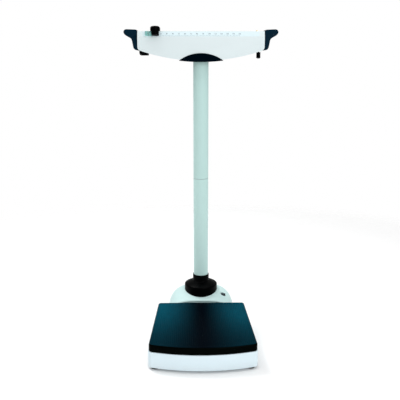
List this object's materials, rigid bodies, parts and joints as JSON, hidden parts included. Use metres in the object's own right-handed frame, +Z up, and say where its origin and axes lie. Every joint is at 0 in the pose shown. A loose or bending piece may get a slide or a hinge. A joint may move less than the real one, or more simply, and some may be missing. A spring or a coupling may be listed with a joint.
{
  "type": "mechanical column scale",
  "caption": "Waist-high mechanical column scale with a low ribbed platform, domed column base and a trough-shaped head holding a sliding-weight beam.",
  "frame": {"origin": "on the floor, in the middle of the footprint", "axes": "+Z up the column, +X to the right of a person reading the beam, +Y to the back, where the column stands"},
  "size_m": [0.511, 0.5199, 1.034],
  "materials": {
    "pan_paint": "satin powder coat, cool white",
    "white_shell": "satin moulded shell, cool white",
    "tube_metal": "satin anodised, pale grey-green",
    "black_plastic": "fine moulded texture, black",
    "cap_plastic": "satin, near-black blue-green",
    "mat_rubber": "ribbed rubber, dark petrol",
    "wheel_rubber": "smooth grey-black",
    "lever_iron": "as cast, painted grey",
    "hard_steel": "ground and hardened",
    "plated_steel": "zinc plated sheet",
    "beam_brass": "satin machined",
    "poise_paint": "black paint on cast iron",
    "window_tint": "clear tinted plastic",
    "level_vial": "clear vial, dark against its black cup"
  },
  "bodies": {
    "base": {"base_pan": "pan_paint", "column_housing": "white_shell", "column_bracket": "plated_steel", "spirit_level_cup": "black_plastic", "spirit_level_vial": "level_vial", "castor_axle_left": "hard_steel", "castor_axle_right": "hard_steel", "long_lever_stand_left": "hard_steel", "long_lever_stand_right": "hard_steel", "short_lever_stand_left": "hard_steel", "short_lever_stand_right": "hard_steel", "column_foot": "black_plastic", "lower_tube": "tube_metal", "upper_tube": "tube_metal", "coupling_sleeve": "plated_steel", "head_saddle": "black_plastic", "head_front_cover": "white_shell", "head_rear_cover": "white_shell", "beam_rail": "plated_steel", "end_cap_left": "cap_plastic", "end_cap_right": "cap_plastic", "cover_screw_left": "hard_steel", "cover_screw_right": "hard_steel", "fulcrum_bearing_front": "hard_steel", "fulcrum_bearing_rear": "hard_steel"},
    "beam": {"beam": "beam_brass", "beam_fulcrum_knife": "hard_steel", "beam_load_knife": "hard_steel"},
    "large_poise": {"large_poise": "poise_paint", "poise_knob": "black_plastic", "reading_window": "window_tint"},
    "fine_poise": {"fine_poise": "beam_brass"},
    "tare_knob": {"tare_knob": "black_plastic"},
    "tare_weight": {"tare_weight": "beam_brass"},
    "lock_knob": {"lock_knob": "black_plastic"},
    "pull_rod": {"pull_rod": "plated_steel"},
    "long_lever": {"long_lever": "lever_iron", "long_lever_fulcrum_knife_left": "hard_steel", "long_lever_fulcrum_knife_right": "hard_steel", "long_lever_load_knife_left": "hard_steel", "long_lever_load_knife_right": "hard_steel"},
    "short_lever": {"short_lever": "lever_iron", "short_lever_fulcrum_knife_left": "hard_steel", "short_lever_fulcrum_knife_right": "hard_steel", "short_lever_load_knife_left": "hard_steel", "short_lever_load_knife_right": "hard_steel"},
    "lever_link": {"lever_link": "hard_steel"},
    "platform": {"platform_mat": "mat_rubber", "platform_plate": "plated_steel", "platform_bearing_front_left": "hard_steel", "platform_bearing_front_right": "hard_steel", "platform_bearing_rear_left": "hard_steel", "platform_bearing_rear_right": "hard_steel"},
    "castor_left": {"castor_wheel_left": "wheel_rubber"},
    "castor_right": {"castor_wheel_right": "wheel_rubber"},
    "foot_front_left": {"levelling_foot_front_left": "black_plastic"},
    "foot_front_right": {"levelling_foot_front_right": "black_plastic"},
    "foot_rear_left": {"levelling_foot_rear_left": "black_plastic"},
    "foot_rear_right": {"levelling_foot_rear_right": "black_plastic"}
  },
  "joints": [
    {"name": "beam_tilt", "type": "hinge", "parent": "base", "child": "beam", "pos_m": [0.025, 0.18, 0.97576], "axis": [0, 1, 0], "range_deg": [-2.3, 2.3]},
    {"name": "pull_rod_travel", "type": "slide", "parent": "base", "child": "pull_rod", "axis": [0, 0, 1], "range_m": [-0.00105, 0.00105]},
    {"name": "long_lever_tilt", "type": "hinge", "parent": "base", "child": "long_lever", "pos_m": [0, -0.205, 0.03576], "axis": [1, 0, 0], "range_deg": [-0.155, 0.155]},
    {"name": "lever_link_travel", "type": "slide", "parent": "base", "child": "lever_link", "axis": [0, 0, 1], "range_m": [-0.0004, 0.0004]},
    {"name": "short_lever_tilt", "type": "hinge", "parent": "base", "child": "short_lever", "pos_m": [0, 0.075, 0.01776], "axis": [1, 0, 0], "range_deg": [-0.155, 0.155]},
    {"name": "platform_travel", "type": "slide", "parent": "base", "child": "platform", "axis": [0, 0, 1], "range_m": [-0.00007, 0.00007]},
    {"name": "large_poise_slide", "type": "slide", "parent": "beam", "child": "large_poise", "axis": [1, 0, 0], "range_m": [0, 0.3]},
    {"name": "fine_poise_slide", "type": "slide", "parent": "beam", "child": "fine_poise", "axis": [1, 0, 0], "range_m": [0, 0.2]},
    {"name": "tare_knob_turn", "type": "hinge", "parent": "beam", "child": "tare_knob", "pos_m": [-0.19, 0.18, 0.954], "axis": [1, 0, 0], "range_deg": [-1440, 1440]},
    {"name": "tare_weight_travel", "type": "slide", "parent": "beam", "child": "tare_weight", "axis": [1, 0, 0], "range_m": [-0.0083, 0.0083]},
    {"name": "lock_knob_push", "type": "slide", "parent": "base", "child": "lock_knob", "axis": [0, 0, 1], "range_m": [0, 0.006]},
    {"name": "castor_left_spin", "type": "hinge", "parent": "base", "child": "castor_left", "pos_m": [-0.082, 0.238, 0.02], "axis": [1, 0, 0], "continuous": true},
    {"name": "castor_right_spin", "type": "hinge", "parent": "base", "child": "castor_right", "pos_m": [0.082, 0.238, 0.02], "axis": [1, 0, 0], "continuous": true},
    {"name": "foot_front_left_turn", "type": "hinge", "parent": "base", "child": "foot_front_left", "pos_m": [-0.147, -0.217, 0.004], "axis": [0, 0, 1], "range_deg": [0, 720]},
    {"name": "foot_front_right_turn", "type": "hinge", "parent": "base", "child": "foot_front_right", "pos_m": [0.147, -0.217, 0.004], "axis": [0, 0, 1], "range_deg": [0, 720]},
    {"name": "foot_rear_left_turn", "type": "hinge", "parent": "base", "child": "foot_rear_left", "pos_m": [-0.098, 0.195, 0.004], "axis": [0, 0, 1], "range_deg": [0, 720]},
    {"name": "foot_rear_right_turn", "type": "hinge", "parent": "base", "child": "foot_rear_right", "pos_m": [0.098, 0.195, 0.004], "axis": [0, 0, 1], "range_deg": [0, 720]}
  ],
  "couplings": [
    {"joint": "pull_rod_travel", "follows": "beam_tilt", "m_per_rad": 0.025},
    {"joint": "long_lever_tilt", "follows": "beam_tilt", "ratio": 0.064935},
    {"joint": "lever_link_travel", "follows": "beam_tilt", "m_per_rad": 0.0090909},
    {"joint": "short_lever_tilt", "follows": "beam_tilt", "ratio": -0.064935},
    {"joint": "platform_travel", "follows": "beam_tilt", "m_per_rad": 0.0016234},
    {"joint": "tare_weight_travel", "follows": "tare_knob_turn", "m_per_rad": 0.00031831}
  ]
}
